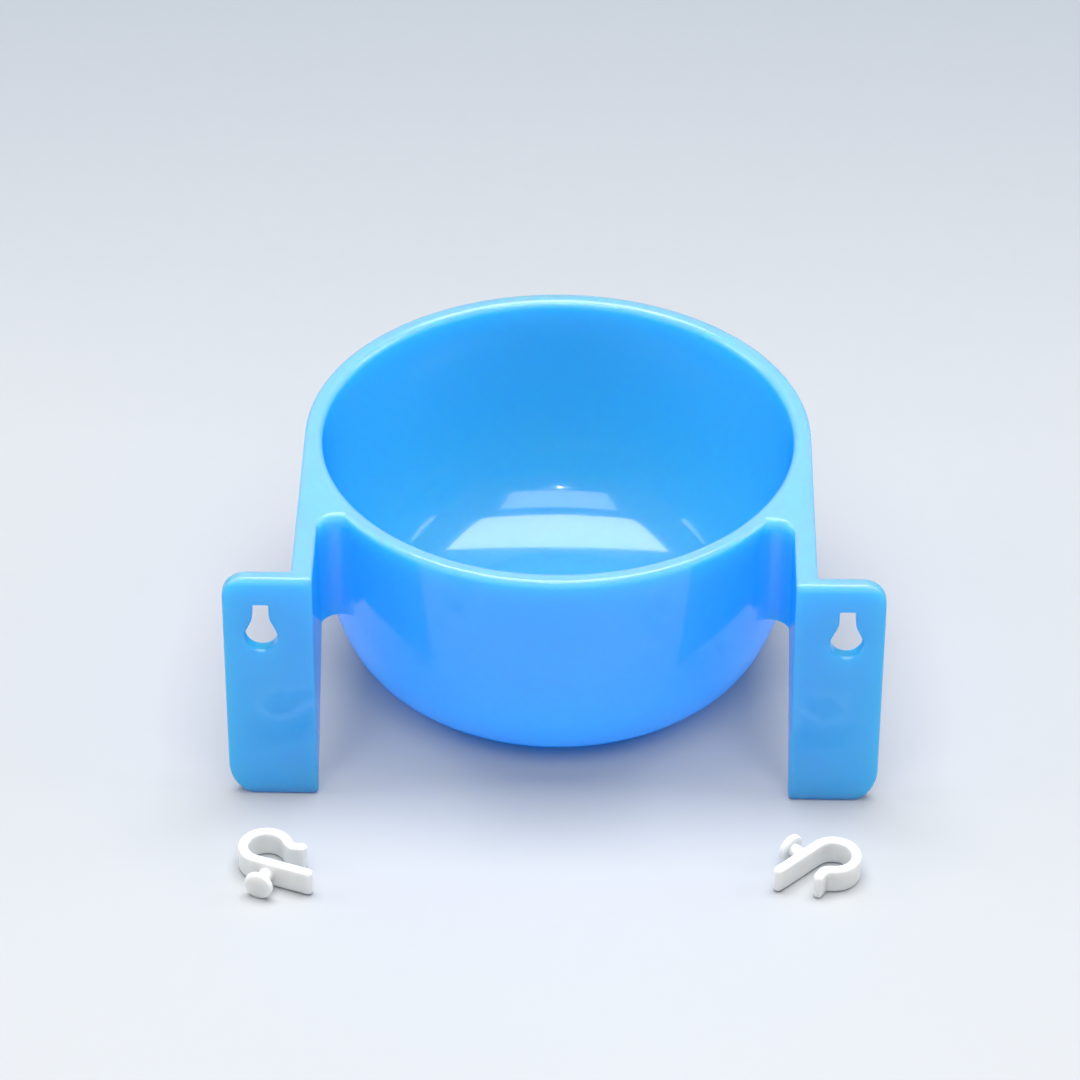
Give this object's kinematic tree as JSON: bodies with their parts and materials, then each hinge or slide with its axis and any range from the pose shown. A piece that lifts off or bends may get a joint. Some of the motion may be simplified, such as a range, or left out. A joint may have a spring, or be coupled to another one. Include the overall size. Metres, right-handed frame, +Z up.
{
  "type": "cage coop cup with hooks",
  "caption": "Round plastic coop cup on two side arms with keyhole flanges for a wire cage, with loose white plastic wire hooks.",
  "frame": {"origin": "centre of the cup's flat underside", "axes": "+Z up out of the cup's mouth, -Y toward the flanges and the cage wires, +X to the right seen from the flanges' side"},
  "size_m": [0.12, 0.126, 0.0496],
  "materials": {
    "cup": "glossy moulded azure plastic, slightly translucent",
    "hook_left": "satin moulded white plastic",
    "hook_right": "satin moulded white plastic"
  },
  "bodies": {
    "cup": {"cup": "cup"},
    "hook_left": {"hook_left": "hook_left"},
    "hook_right": {"hook_right": "hook_right"}
  },
  "joints": [
    {"name": "hook_left_lift", "type": "slide", "parent": "cup", "child": "hook_left", "axis": [0, 0, 1], "range_m": [0, 0.06]},
    {"name": "hook_right_lift", "type": "slide", "parent": "cup", "child": "hook_right", "axis": [0, 0, 1], "range_m": [0, 0.06]}
  ]
}
